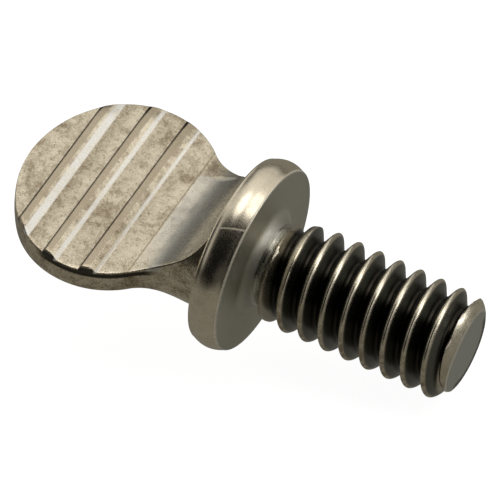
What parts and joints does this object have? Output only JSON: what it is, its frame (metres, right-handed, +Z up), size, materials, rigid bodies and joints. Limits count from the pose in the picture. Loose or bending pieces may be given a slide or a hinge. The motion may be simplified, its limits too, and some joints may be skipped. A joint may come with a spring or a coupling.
{
  "type": "thumb screw",
  "caption": "Forged steel thumb screw with a flat ribbed oval spade for finger and thumb, a thrust collar and a short coarse-threaded shank.",
  "frame": {"origin": "on the resting plane, under the middle of the part's length and width", "axes": "+Z up from the resting plane, +X from the spade to the tip of the thread, +Y across the spade"},
  "size_m": [0.0272, 0.0126, 0.0111],
  "materials": {
    "steel": "cold-forged and rolled steel, thin bright plating worn to a mottled satin"
  },
  "bodies": {
    "root": {"thumb_screw": "steel"}
  },
  "joints": []
}
